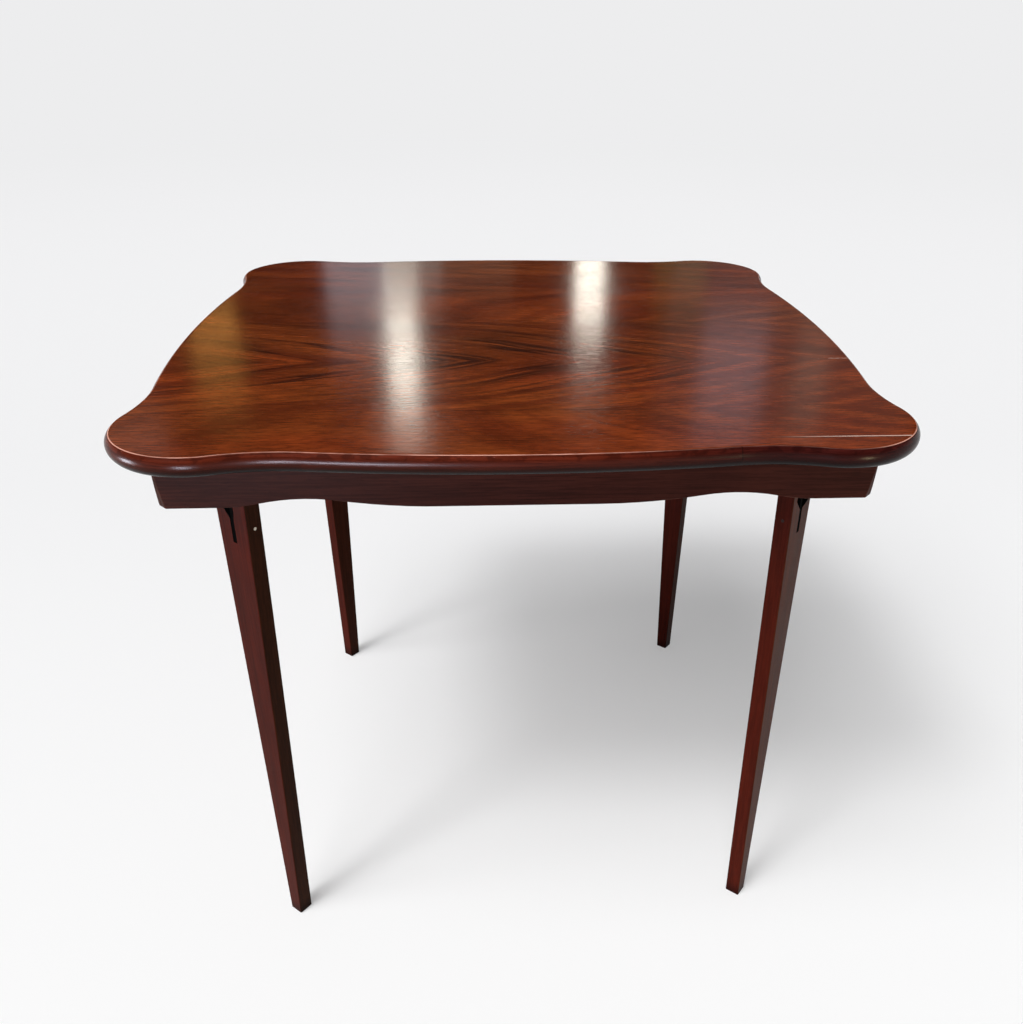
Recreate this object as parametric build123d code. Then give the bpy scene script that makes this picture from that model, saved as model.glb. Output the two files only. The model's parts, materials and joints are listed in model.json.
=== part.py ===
from build123d import *
import os
from math import atan, atan2, cos, degrees, hypot, radians, sin, sqrt, tan

# Folding card table. Millimetres, +Z up, the origin on the floor under the
# middle of the top. The front is towards -Y. All four corners are alike, each
# turned a quarter turn from the last, and each leg folds inwards under the top.

# Table as a whole
TABLE_HEIGHT = 710.0
TOP_ACROSS = 824.0            # over the bulges of two opposite sides
TOP_THICKNESS = 20.0

# Outline of the top: a shallow bulge on each side, a hollow at each end of it
# and a round lobe at each corner
BULGE_RADIUS = 1684.0
HOLLOW_RADIUS = 217.0
LOBE_RADIUS = 92.0
LOBE_SETBACK = 3.5            # how far a lobe stops short of the bulges

# Edge moulding glued round the panel
MOULDING_WIDTH = 14.0
NOSE_DEPTH = 5.0              # how far the rounded nose stands out

# Aprons
APRON_INSET = 51.0            # from the bulge of the top to an apron's face
APRON_THICKNESS = 19.0
APRON_DEPTH = 53.0            # at the ends, below the underside of the top
APRON_CREST_RISE = 8.4        # how much shallower the apron is at its two crests
APRON_BELLY_DROP = 2.3        # how much deeper it is along its middle
APRON_CREST_RADIUS = 220.0
APRON_CORNER_HEAD = 1.5       # planed off the frame's corner, at its top
APRON_CORNER_FOOT = 6.0       # and at its foot, in a long curve between them
crest_place_share = 0.602     # of half the apron's length, from its middle
belly_flat_share = 0.222
end_flat_share = 0.169

# Legs
LEG_THICKNESS = 19.0
LEG_HEAD_WIDTH = 52.0
LEG_FOOT_WIDTH = 19.0
LEG_HEAD_DEPTH = 46.0         # the head keeps its width this far below the top
LEG_TO_APRON = 42.0           # from a leg's centre to the back of each apron
LEG_EDGE_RADIUS = 1.5
FOOT_BEVEL = 1.0
FOLD_SKEW = 5.0               # degrees between a leg's fold and the diagonal
FOLD_GAP = 3.5                # between the top and a leg folded against it
LAYER_GAP = 1.5               # between the two layers of folded legs

# Kerf in the head of each leg and the steel stop plate riveted into it
KERF_WIDTH = 6.5
KERF_BELOW_APRON = 68.0
FLARE_BELOW_APRON = 39.0      # from here up the kerf opens out into a notch
FLARE_ABOVE_APRON = 11.0      # the notch ends here, below the pin
FLARE_DEPTH = 12.0
FLARE_LEFT = 12.0             # how far it opens out to the left, seen from outside
FLARE_LEFT_RISE = 14.0
FLARE_RIGHT_RISE = 7.0
PLATE_THICKNESS = 4.4
PLATE_MARGIN = 0.6            # between the plate's edges and the leg's faces
NOSE_BELOW_APRON = 11.0       # where the nose leaves the leg's face
NOSE_BEARING = 12.0           # height of the face that meets the catch
RIVET_RADIUS = 1.8
RIVET_BELOW_APRON = 47.0
RIVET_PROUD = 0.3

# Corner block and spring catch
BLOCK_BEHIND_LEG = 21.5       # from the leg's centre to the block's face
BLOCK_ABOVE_APRON = 3.0       # the block stops short of the apron's lower edge
CATCH_THICKNESS = 1.0
CATCH_LEAF_LENGTH = 8.0
CATCH_GRIP_GAP = 0.3          # between each leaf and the plate
CATCH_TAIL_HEIGHT = 20.0
CATCH_TAIL_WIDTH = 12.0
STOP_GAP = 0.1                # between the plate's nose and the catch

# Hinge: a bent steel bracket, a pivot pin and two washers
BRACKET_THICKNESS = 2.0
BRACKET_LENGTH = 40.0
EAR_WIDTH = 22.0
PIN_RADIUS = 3.0
PIN_HEAD_RADIUS = 5.5
PIN_HEAD_HEIGHT = 2.0
PIN_CLEARANCE = 0.05          # round the pin, in the leg, plate and washers
WASHER_THICKNESS = 1.0
WASHER_RADIUS = 8.0
WASHER_PLAY = 0.1             # beside each washer

# Screws
BRACKET_SCREW_RADIUS = 1.75
BRACKET_SCREW_HEAD = 3.5      # radius of the countersunk head
BRACKET_SCREW_BITE = 14.0     # length in the wood of the top
BRACKET_SCREW_EDGE = 6.0      # from a screw to the bracket's end
BRACKET_SCREW_SPREAD = 32.0   # between the two screws at one end
BLOCK_SCREW_RADIUS = 2.0
BLOCK_SCREW_HEAD = 4.0
BLOCK_SCREW_BITE = 13.0
BLOCK_SCREW_SPREAD = 24.0
BLOCK_SCREW_SETBACK = 12.0    # from the block's face
BLOCK_COUNTERBORE = 24.0
COUNTERBORE_RADIUS = 4.6
CATCH_SCREW_RADIUS = 1.4
CATCH_SCREW_HEAD = 2.8
CATCH_SCREW_HEAD_HEIGHT = 1.6
CATCH_SCREW_BITE = 12.0
drive_slot_width_share = 0.3  # of the head's radius
drive_slot_depth_share = 0.25

# Glue blocks between the aprons and the top
GLUE_BLOCK = 16.0
GLUE_BLOCK_LENGTH = 60.0
glue_block_place_shares = (-0.42, 0.0, 0.42)

OVERRUN = 5.0                 # how far every cutter runs past what it cuts

# Sizes that follow from those above
half_top = TOP_ACROSS / 2
underside = TABLE_HEIGHT - TOP_THICKNESS
half_apron = half_top - APRON_INSET
apron_back = half_apron - APRON_THICKNESS
leg_place = apron_back - LEG_TO_APRON
half_leg = LEG_THICKNESS / 2
half_head = LEG_HEAD_WIDTH / 2
half_kerf = KERF_WIDTH / 2
half_plate = PLATE_THICKNESS / 2
kerf_depth = APRON_DEPTH + KERF_BELOW_APRON
rivet_depth = APRON_DEPTH + RIVET_BELOW_APRON
block_height = APRON_DEPTH - BLOCK_ABOVE_APRON
nose_reach = BLOCK_BEHIND_LEG - CATCH_THICKNESS - STOP_GAP
upper_pivot = FOLD_GAP + half_leg
lower_pivot = upper_pivot + LEG_THICKNESS + LAYER_GAP
ear_inside = half_head + WASHER_THICKNESS + 2 * WASHER_PLAY
ear_outside = ear_inside + BRACKET_THICKNESS
catch_screw_height = NOSE_BEARING + CATCH_TAIL_HEIGHT / 2 - block_height

# The corners in turn, counted anticlockwise from the front left. Opposite legs
# fold side by side in one layer, and their neighbours cross below them. The kerf
# opens out to the right by much only in the legs of the lower layer.
CORNERS = ("front_left", "front_right", "rear_right", "rear_left")
PIVOT_DEPTHS = (upper_pivot, lower_pivot, upper_pivot, lower_pivot)
FLARE_RIGHTS = (1.5, 19.0, 1.5, 19.0)
SIDES = ("front", "right", "rear", "left")


def quarter_turn(index, shape):
    return Rot(0, 0, 90 * index) * shape


def corner_location(index):
    """At a leg's centre under the top: x points out of the table along the leg's
    fold, y along its pivot pin and z up."""
    outward = radians(225 + FOLD_SKEW)
    place = Plane(
        origin=(-leg_place, -leg_place, underside),
        x_dir=(cos(outward), sin(outward), 0),
        z_dir=(0, 0, 1),
    )
    return Rot(0, 0, 90 * index) * place.location


def box(x0, x1, y0, y1, z0, z1):
    middle = Pos((x0 + x1) / 2, (y0 + y1) / 2, (z0 + z1) / 2)
    return middle * Box(abs(x1 - x0), abs(y1 - y0), abs(z1 - z0))


def plan_prism(points, z0, z1):
    """A prism with its outline in plan, from one height to another."""
    face = make_face(Polyline(*[(x, y, z0) for x, y in points], close=True))
    return extrude(face, amount=z1 - z0, dir=(0, 0, 1))


def side_prism(points, y0, y1):
    """A prism with its outline in X and Z."""
    face = make_face(Polyline(*[(x, y0, z) for x, z in points], close=True))
    return extrude(face, amount=y1 - y0, dir=(0, 1, 0))


def face_prism(points, x0, x1):
    """A prism with its outline in Y and Z."""
    face = make_face(Polyline(*[(x0, y, z) for y, z in points], close=True))
    return extrude(face, amount=x1 - x0, dir=(1, 0, 0))


def rod(start, direction, radius, length):
    """A round bar from a point, along an axis."""
    return Plane(origin=start, z_dir=direction).location * Cylinder(
        radius, length, align=(Align.CENTER, Align.CENTER, Align.MIN)
    )


# Outline of the top

def outline_centres():
    """Centres of the front bulge, the hollow to its right and the right lobe."""
    bulge = (0, -half_top + BULGE_RADIUS)
    lobe_place = half_top - LOBE_SETBACK - LOBE_RADIUS
    lobe = (lobe_place, -lobe_place)
    to_bulge = BULGE_RADIUS + HOLLOW_RADIUS
    to_lobe = LOBE_RADIUS + HOLLOW_RADIUS
    run = (lobe[0] - bulge[0], lobe[1] - bulge[1])
    span = hypot(*run)
    along = (to_bulge**2 - to_lobe**2 + span**2) / (2 * span)
    aside = sqrt(to_bulge**2 - along**2)
    unit = (run[0] / span, run[1] / span)
    hollow = (
        bulge[0] + along * unit[0] + aside * unit[1],
        bulge[1] + along * unit[1] - aside * unit[0],
    )
    return bulge, hollow, lobe


bulge_centre, hollow_centre, lobe_centre = outline_centres()


def bearing(start, end):
    """Direction from one point to another, in degrees."""
    return degrees(atan2(end[1] - start[1], end[0] - start[0]))


# Where the arcs meet: directions from each arc's own centre
bulge_end = bearing(bulge_centre, hollow_centre)
hollow_start = bearing(hollow_centre, bulge_centre)
hollow_end = bearing(hollow_centre, lobe_centre)
lobe_start = bearing(lobe_centre, hollow_centre)
bulge_half_turn = bulge_end + 90
hollow_turn = hollow_start - hollow_end
lobe_half_turn = -45 - lobe_start


def outline_face(inset):
    """The outline of the top, drawn in from its edge by an inset."""
    edges = []
    for side in range(4):
        arcs = (
            CenterArc(bulge_centre, BULGE_RADIUS - inset, bulge_end, -2 * bulge_half_turn),
            CenterArc(hollow_centre, HOLLOW_RADIUS + inset, hollow_start, -hollow_turn),
            CenterArc(lobe_centre, LOBE_RADIUS - inset, lobe_start, 2 * lobe_half_turn),
            mirror(
                CenterArc(hollow_centre, HOLLOW_RADIUS + inset, hollow_start, -hollow_turn),
                about=Plane(origin=(0, 0, 0), z_dir=(1, 1, 0)),
            ),
        )
        edges += [quarter_turn(side, arc) for arc in arcs]
    return make_face(edges)


def moulding_run(centre, radius, outward, start, turn):
    """The moulding's section turned about the centre of one arc of the outline.
    Outward is 1 where the nose points away from that centre, and -1 in a hollow."""
    reach = (cos(radians(start)), sin(radians(start)))

    def at(inset, depth):
        away = radius - outward * inset
        return (centre[0] + away * reach[0], centre[1] + away * reach[1], TABLE_HEIGHT - depth)

    middle = TOP_THICKNESS / 2
    section = make_face([
        Line(at(MOULDING_WIDTH, 0), at(NOSE_DEPTH, 0)),
        ThreePointArc(at(NOSE_DEPTH, 0), at(0, middle), at(NOSE_DEPTH, TOP_THICKNESS)),
        Line(at(NOSE_DEPTH, TOP_THICKNESS), at(MOULDING_WIDTH, TOP_THICKNESS)),
        Line(at(MOULDING_WIDTH, TOP_THICKNESS), at(MOULDING_WIDTH, 0)),
    ])
    return revolve(section, axis=Axis((*centre, 0), (0, 0, 1)), revolution_arc=turn)


def side_moulding():
    start = -90 - bulge_half_turn
    return moulding_run(bulge_centre, BULGE_RADIUS, 1, start, 2 * bulge_half_turn)


def lobe_moulding():
    """The front right corner: a hollow, the lobe and the next hollow, in one piece."""
    hollow = moulding_run(hollow_centre, HOLLOW_RADIUS, -1, hollow_end, hollow_turn)
    lobe = moulding_run(lobe_centre, LOBE_RADIUS, 1, lobe_start, 2 * lobe_half_turn)
    next_hollow = mirror(hollow, about=Plane(origin=(0, 0, 0), z_dir=(1, 1, 0)))
    return hollow + lobe + next_hollow


# Aprons

def ogee(start, end, start_radius):
    """Two tangent arcs between two level points of the apron's lower edge, as the
    points that they pass: the start, a middle, where they meet, a middle and the end."""
    run = end[0] - start[0]
    rise = end[1] - start[1]
    half_angle = atan(abs(rise / run))
    both_radii = abs(run) / sin(2 * half_angle)
    end_radius = both_radii - start_radius
    way = 1 if run > 0 else -1
    climb = 1 if rise > 0 else -1

    def near(point, radius, angle, sign):
        return (
            point[0] + sign * way * radius * sin(angle),
            point[1] + sign * climb * radius * (1 - cos(angle)),
        )

    turn = 2 * half_angle
    return [
        start,
        near(start, start_radius, turn / 2, 1),
        near(start, start_radius, turn, 1),
        near(end, end_radius, turn / 2, -1),
        end,
    ]


def corner_shaving():
    """What is planed off the frame's front left corner: a facet across the corner
    that curves inwards towards its foot."""
    corner = half_apron * sqrt(2)
    curve = APRON_CORNER_FOOT - APRON_CORNER_HEAD
    radius = (APRON_DEPTH**2 + curve**2) / (2 * curve)
    reach = APRON_THICKNESS + OVERRUN
    shaving = box(
        corner - APRON_CORNER_FOOT - OVERRUN,
        corner + OVERRUN,
        -APRON_THICKNESS,
        APRON_THICKNESS,
        -APRON_DEPTH - OVERRUN,
        OVERRUN,
    )
    shaving -= rod((corner - APRON_CORNER_HEAD - radius, -reach, 0), (0, 1, 0), radius, 2 * reach)
    diagonal = Plane(origin=(0, 0, underside), x_dir=(-1, -1, 0), z_dir=(0, 0, 1))
    return diagonal.location * shaving


def apron():
    """The front apron, mitred at both ends, with its scalloped lower edge."""
    ends_z = underside - APRON_DEPTH
    crest = (half_apron * crest_place_share, ends_z + APRON_CREST_RISE)
    belly = (half_apron * belly_flat_share, ends_z - APRON_BELLY_DROP)
    shoulder = (half_apron * (1 - end_flat_share), ends_z)
    inner = ogee(crest, belly, APRON_CREST_RADIUS)
    outer = ogee(crest, shoulder, APRON_CREST_RADIUS)

    def at(point):
        return (point[0], -half_apron, point[1])

    right = [
        Line(at((0, belly[1])), at(belly)),
        ThreePointArc(*[at(p) for p in inner[2:]]),
        ThreePointArc(*[at(p) for p in inner[:3]]),
        ThreePointArc(*[at(p) for p in outer[:3]]),
        ThreePointArc(*[at(p) for p in outer[2:]]),
        Line(at(shoulder), at((half_apron, ends_z))),
        Line(at((half_apron, ends_z)), at((half_apron, underside))),
        Line(at((half_apron, underside)), at((0, underside))),
    ]
    left = [mirror(edge, about=Plane.YZ) for edge in right]
    board = extrude(make_face(right + left), amount=APRON_THICKNESS, dir=(0, 1, 0))
    mitred = plan_prism(
        [
            (-half_apron, -half_apron),
            (half_apron, -half_apron),
            (apron_back, -apron_back),
            (-apron_back, -apron_back),
        ],
        ends_z - APRON_BELLY_DROP - OVERRUN,
        underside + OVERRUN,
    )
    shaving = corner_shaving()
    return (board & mitred) - shaving - mirror(shaving, about=Plane.YZ)


def glue_blocks():
    """Square blocks rubbed into the angle between the front apron and the top."""
    blocks = []
    for share in glue_block_place_shares:
        middle = share * half_apron
        blocks.append(box(
            middle - GLUE_BLOCK_LENGTH / 2,
            middle + GLUE_BLOCK_LENGTH / 2,
            -apron_back,
            -apron_back + GLUE_BLOCK,
            underside - GLUE_BLOCK,
            underside,
        ))
    return blocks


# Pieces of one corner, in the axes of corner_location: x out, y along the pin,
# z up from the underside of the top

def countersunk_screw(radius, head_radius, length):
    """A wood screw that points up, with the flat of its head at the origin."""
    head_height = head_radius - radius
    head = Cone(head_radius, radius, head_height, align=(Align.CENTER, Align.CENTER, Align.MIN))
    return head + rod((0, 0, 0), (0, 0, 1), radius, length)


def slotted(screw, head_radius):
    """The same screw with a straight slot across its head."""
    half_width = head_radius * drive_slot_width_share / 2
    depth = head_radius * drive_slot_depth_share
    slot = box(-head_radius, head_radius, -half_width, half_width, -OVERRUN, depth)
    return screw - slot


def bracket_screw():
    length = BRACKET_THICKNESS + BRACKET_SCREW_BITE
    return countersunk_screw(BRACKET_SCREW_RADIUS, BRACKET_SCREW_HEAD, length)


def bracket_screw_places():
    x = BRACKET_LENGTH / 2 - BRACKET_SCREW_EDGE
    y = BRACKET_SCREW_SPREAD / 2
    return [Pos(sx * x, sy * y, -BRACKET_THICKNESS) for sx in (-1, 1) for sy in (-1, 1)]


def block_screw():
    length = block_height - BLOCK_COUNTERBORE + BLOCK_SCREW_BITE
    return countersunk_screw(BLOCK_SCREW_RADIUS, BLOCK_SCREW_HEAD, length)


def block_screw_places():
    x = BLOCK_BEHIND_LEG + BLOCK_SCREW_SETBACK
    y = BLOCK_SCREW_SPREAD / 2
    return [Pos(x, sy * y, BLOCK_COUNTERBORE - block_height) for sy in (-1, 1)]


def catch_screw():
    """A round-headed screw through the catch's tail into the corner block."""
    face = BLOCK_BEHIND_LEG - CATCH_THICKNESS
    z = catch_screw_height
    shank = rod((face, 0, z), (1, 0, 0), CATCH_SCREW_RADIUS, CATCH_THICKNESS + CATCH_SCREW_BITE)
    head = rod((face, 0, z), (-1, 0, 0), CATCH_SCREW_HEAD, CATCH_SCREW_HEAD_HEIGHT)
    half_width = CATCH_SCREW_HEAD * drive_slot_width_share / 2
    depth = CATCH_SCREW_HEAD * drive_slot_depth_share
    outer = face - CATCH_SCREW_HEAD_HEIGHT
    slot = box(
        outer - OVERRUN,
        outer + depth,
        -CATCH_SCREW_HEAD,
        CATCH_SCREW_HEAD,
        z - half_width,
        z + half_width,
    )
    return shank + head - slot


def bracket(pivot):
    """A bent plate: a base against the top and an ear down each side of the leg."""
    half_length = BRACKET_LENGTH / 2
    shape = box(-half_length, half_length, -ear_outside, ear_outside, -BRACKET_THICKNESS, 0)
    half_ear = EAR_WIDTH / 2
    for side in (-1, 1):
        y0, y1 = sorted((side * ear_inside, side * ear_outside))
        shape += box(-half_ear, half_ear, y0, y1, -pivot, 0)
        shape += rod((0, y0, -pivot), (0, 1, 0), half_ear, BRACKET_THICKNESS)
    hole = rod((0, -ear_outside - OVERRUN, -pivot), (0, 1, 0), PIN_RADIUS, 2 * (ear_outside + OVERRUN))
    shape -= hole
    for place in bracket_screw_places():
        shape -= place * bracket_screw()
    return shape


def pivot_pin(pivot):
    """A shouldered pin, headed over against both ears."""
    pin = rod((0, -ear_outside, -pivot), (0, 1, 0), PIN_RADIUS, 2 * ear_outside)
    for side in (-1, 1):
        head = rod((0, side * ear_outside, -pivot), (0, side, 0), PIN_HEAD_RADIUS, PIN_HEAD_HEIGHT)
        rim = head.faces().sort_by(Axis.Y)[0 if side < 0 else -1].edges()
        pin += fillet(rim, PIN_HEAD_HEIGHT / 2)
    return pin


def washers(pivot):
    """One washer between the leg and each ear."""
    pair = []
    for side in (-1, 1):
        y0 = side * (half_head + WASHER_PLAY)
        disc = rod((0, y0, -pivot), (0, side, 0), WASHER_RADIUS, WASHER_THICKNESS)
        bore = rod((0, y0 - side * OVERRUN, -pivot), (0, side, 0), PIN_RADIUS + PIN_CLEARANCE,
                   WASHER_THICKNESS + 2 * OVERRUN)
        pair.append(disc - bore)
    return pair


def leg(pivot, flare_right):
    """A leg with a rounded head, tapered in its width from the apron to the foot."""
    half_foot = LEG_FOOT_WIDTH / 2
    head_top = half_leg - pivot
    blank = face_prism(
        [
            (-half_head, head_top),
            (-half_head, -LEG_HEAD_DEPTH),
            (-half_foot, -underside),
            (half_foot, -underside),
            (half_head, -LEG_HEAD_DEPTH),
            (half_head, head_top),
        ],
        -half_leg,
        half_leg,
    )
    long_edges = [edge for edge in blank.edges() if edge.length > underside / 2]
    blank = fillet(long_edges, LEG_EDGE_RADIUS)
    blank = chamfer(blank.faces().sort_by(Axis.Z)[0].edges(), FOOT_BEVEL)
    rounded = box(-half_leg, half_leg, -half_head, half_head, -underside, -pivot)
    rounded += rod((0, -half_head, -pivot), (0, 1, 0), half_leg, LEG_HEAD_WIDTH)
    shape = blank & rounded
    shape -= box(
        -half_leg - OVERRUN, half_leg + OVERRUN, -half_kerf, half_kerf, -kerf_depth, head_top + OVERRUN
    )
    flare_foot = -APRON_DEPTH - FLARE_BELOW_APRON
    flare_head = -APRON_DEPTH + FLARE_ABOVE_APRON
    shape -= face_prism(
        [
            (-half_kerf, flare_foot),
            (half_kerf, flare_foot),
            (half_kerf + flare_right, flare_foot + FLARE_RIGHT_RISE),
            (half_kerf + flare_right, flare_head),
            (-half_kerf - FLARE_LEFT, flare_head),
            (-half_kerf - FLARE_LEFT, flare_foot + FLARE_LEFT_RISE),
        ],
        half_leg - FLARE_DEPTH,
        half_leg + OVERRUN,
    )
    shape -= rod((0, -half_head - OVERRUN, -pivot), (0, 1, 0), PIN_RADIUS + PIN_CLEARANCE,
                 LEG_HEAD_WIDTH + 2 * OVERRUN)
    shape -= rod((0, -half_head, -rivet_depth), (0, 1, 0), RIVET_RADIUS, LEG_HEAD_WIDTH)
    return shape


def leg_width_at(depth):
    """The leg's width at a depth below the top."""
    share = (depth - LEG_HEAD_DEPTH) / (underside - LEG_HEAD_DEPTH)
    return LEG_HEAD_WIDTH + (LEG_FOOT_WIDTH - LEG_HEAD_WIDTH) * share


def stop_plate(pivot):
    """The plate in the kerf, with the nose that meets the catch when the leg stands."""
    edge = half_leg - PLATE_MARGIN
    nose_foot = -APRON_DEPTH - NOSE_BELOW_APRON
    bearing_foot = -block_height
    shape = side_prism(
        [
            (-edge, -pivot),
            (-edge, PLATE_MARGIN - kerf_depth),
            (edge, PLATE_MARGIN - kerf_depth),
            (edge, nose_foot),
            (nose_reach, bearing_foot),
            (nose_reach, bearing_foot + NOSE_BEARING),
            (edge, bearing_foot + NOSE_BEARING),
            (edge, -pivot),
        ],
        -half_plate,
        half_plate,
    )
    shape += rod((0, -half_plate, -pivot), (0, 1, 0), edge, PLATE_THICKNESS)
    shape -= rod((0, -OVERRUN, -pivot), (0, 1, 0), PIN_RADIUS + PIN_CLEARANCE, 2 * OVERRUN)
    shape -= rod((0, -OVERRUN, -rivet_depth), (0, 1, 0), RIVET_RADIUS, 2 * OVERRUN)
    return shape


def plate_rivet():
    """The rivet through the leg and the plate, its ends a little proud of the leg."""
    half_length = leg_width_at(rivet_depth - RIVET_RADIUS) / 2 + RIVET_PROUD
    return rod((0, -half_length, -rivet_depth), (0, 1, 0), RIVET_RADIUS, 2 * half_length)


def corner_outline():
    """The corner block in plan: the backs of two aprons and a face across them."""
    outward = radians(45 + FOLD_SKEW)
    corner = (
        LEG_TO_APRON * (cos(outward) + sin(outward)),
        LEG_TO_APRON * (cos(outward) - sin(outward)),
    )
    depth = corner[0] - BLOCK_BEHIND_LEG
    skew = radians(FOLD_SKEW)
    return [
        corner,
        (BLOCK_BEHIND_LEG, corner[1] + depth * tan(radians(45) + skew)),
        (BLOCK_BEHIND_LEG, corner[1] - depth * tan(radians(45) - skew)),
    ]


def corner_block():
    """A block glued and screwed into the corner of the aprons."""
    shape = plan_prism(corner_outline(), -block_height, 0)
    for place in block_screw_places():
        shape -= place * block_screw()
        shape -= place * rod((0, 0, 0), (0, 0, -1), COUNTERBORE_RADIUS, BLOCK_COUNTERBORE + OVERRUN)
    shape -= rod((BLOCK_BEHIND_LEG, 0, catch_screw_height), (1, 0, 0), CATCH_SCREW_RADIUS,
                 CATCH_SCREW_BITE)
    return shape


def spring_catch():
    """A spring steel clip on the block: a tail with a screw and two leaves that
    grip the plate's nose."""
    back = BLOCK_BEHIND_LEG
    face = back - CATCH_THICKNESS
    leaf_inside = half_plate + CATCH_GRIP_GAP
    leaf_outside = leaf_inside + CATCH_THICKNESS
    foot = -block_height
    shape = box(face, back, -leaf_outside, leaf_outside, foot, foot + NOSE_BEARING)
    half_tail = CATCH_TAIL_WIDTH / 2
    tail_foot = foot + NOSE_BEARING
    shape += box(face, back, -half_tail, half_tail, tail_foot, tail_foot + CATCH_TAIL_HEIGHT)
    for side in (-1, 1):
        y0, y1 = sorted((side * leaf_inside, side * leaf_outside))
        shape += box(face - CATCH_LEAF_LENGTH, back, y0, y1, foot, foot + NOSE_BEARING)
    shape -= rod((face - OVERRUN, 0, catch_screw_height), (1, 0, 0), CATCH_SCREW_RADIUS,
                 CATCH_THICKNESS + 2 * OVERRUN)
    return shape


def top_panel():
    """The panel inside the mouldings, with a pilot hole for each screw."""
    panel = extrude(outline_face(MOULDING_WIDTH), amount=TOP_THICKNESS, dir=(0, 0, 1))
    panel = Pos(0, 0, underside) * panel
    for index in range(4):
        place = corner_location(index)
        for spot in bracket_screw_places():
            panel -= place * spot * bracket_screw()
        for spot in block_screw_places():
            panel -= place * spot * block_screw()
    return panel


# All the pieces, by name

def build():
    pieces = {"top_panel": top_panel()}
    for index, side in enumerate(SIDES):
        pieces["edge_moulding_" + side] = quarter_turn(index, side_moulding())
        pieces["apron_" + side] = quarter_turn(index, apron())
        blocks = [quarter_turn(index, block) for block in glue_blocks()]
        pieces["glue_blocks_" + side] = Compound(children=blocks)
    bracket_screws = []
    block_screws = []
    catch_screws = []
    all_washers = []
    for index, corner in enumerate(CORNERS):
        pivot = PIVOT_DEPTHS[index]
        place = corner_location(index)
        pieces["corner_moulding_" + corner] = quarter_turn(index - 1, lobe_moulding())
        pieces["corner_block_" + corner] = place * corner_block()
        pieces["hinge_bracket_" + corner] = place * bracket(pivot)
        pieces["pivot_pin_" + corner] = place * pivot_pin(pivot)
        pieces["spring_catch_" + corner] = place * spring_catch()
        pieces["leg_" + corner] = place * leg(pivot, FLARE_RIGHTS[index])
        pieces["stop_plate_" + corner] = place * stop_plate(pivot)
        pieces["plate_rivet_" + corner] = place * plate_rivet()
        screw = slotted(bracket_screw(), BRACKET_SCREW_HEAD)
        bracket_screws += [place * spot * screw for spot in bracket_screw_places()]
        screw = slotted(block_screw(), BLOCK_SCREW_HEAD)
        block_screws += [place * spot * screw for spot in block_screw_places()]
        catch_screws.append(place * catch_screw())
        all_washers += [place * washer for washer in washers(pivot)]
    pieces["bracket_screws"] = Compound(children=bracket_screws)
    pieces["block_screws"] = Compound(children=block_screws)
    pieces["catch_screws"] = Compound(children=catch_screws)
    pieces["hinge_washers"] = Compound(children=all_washers)
    return pieces


os.makedirs("parts", exist_ok=True)
for name, shape in build().items():
    export_step(shape, "parts/" + name + ".step")
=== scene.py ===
import bmesh
import bpy
import json
import math
from mathutils import Matrix, Vector


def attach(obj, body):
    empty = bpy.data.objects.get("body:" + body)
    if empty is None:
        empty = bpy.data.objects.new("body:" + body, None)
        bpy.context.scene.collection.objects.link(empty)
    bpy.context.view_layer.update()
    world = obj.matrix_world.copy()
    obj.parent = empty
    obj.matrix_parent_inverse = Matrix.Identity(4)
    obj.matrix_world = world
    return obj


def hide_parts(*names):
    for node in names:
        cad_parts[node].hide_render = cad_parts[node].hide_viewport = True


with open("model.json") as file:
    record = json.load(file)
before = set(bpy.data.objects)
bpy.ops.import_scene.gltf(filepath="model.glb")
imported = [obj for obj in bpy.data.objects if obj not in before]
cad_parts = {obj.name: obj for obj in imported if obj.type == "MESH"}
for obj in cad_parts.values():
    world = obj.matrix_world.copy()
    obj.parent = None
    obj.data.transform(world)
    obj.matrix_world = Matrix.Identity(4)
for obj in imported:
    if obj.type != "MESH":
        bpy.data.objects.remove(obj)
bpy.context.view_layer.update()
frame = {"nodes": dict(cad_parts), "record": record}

# Folding card table, in metres. The frame gives every piece its place; the sizes
# here are the ones that the mouldings, the slots and the finishes need.
TOP_Z = 0.710
TOP_THICKNESS = 0.020
HALF_TOP = 0.412
BULGE_RADIUS = 1.684
HOLLOW_RADIUS = 0.217
LOBE_RADIUS = 0.092
LOBE_SETBACK = 0.0035
MOULDING_WIDTH = 0.014
NOSE_DEPTH = 0.005
ARRIS_RADIUS = 0.0012
LEG_PLACE = 0.300             # a leg's centre, in X and in Y
FOLD_ANGLE = math.radians(230)
SLOT_FOOT = 0.569
SLOT_HEAD = 0.690
SLOT_REACH = 0.022            # how far from the leg's centre the slot's mouth flares

CORNERS = ("front_left", "front_right", "rear_right", "rear_left")
SIDES = ("front", "right", "rear", "left")
BODY_OF = {
    node: body
    for body, members in frame["record"]["behaviour"]["bodies"].items()
    for node in members
}


# Helpers for building node trees

def put(tree, kind, values=None, **settings):
    """Adds a node. A value may be a number, a colour or another node's output."""
    made = tree.nodes.new(kind)
    for name, value in settings.items():
        setattr(made, name, value)
    for name, value in (values or {}).items():
        if isinstance(value, bpy.types.NodeSocket):
            tree.links.new(value, made.inputs[name])
        else:
            made.inputs[name].default_value = value
    return made


def maths(tree, operation, first, second=0.0, third=0.0):
    values = {0: first, 1: second, 2: third}
    return put(tree, "ShaderNodeMath", values, operation=operation).outputs[0]


def product(tree, *values):
    result = values[0]
    for value in values[1:]:
        result = maths(tree, "MULTIPLY", result, value)
    return result


def smooth(tree, value, low, high, to_low=0.0, to_high=1.0):
    """Goes gently from to_low to to_high as the value goes from low to high."""
    made = put(tree, "ShaderNodeMapRange", {0: value, 1: low, 2: high, 3: to_low, 4: to_high})
    made.interpolation_type = "SMOOTHSTEP"
    return made.outputs[0]


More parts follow.
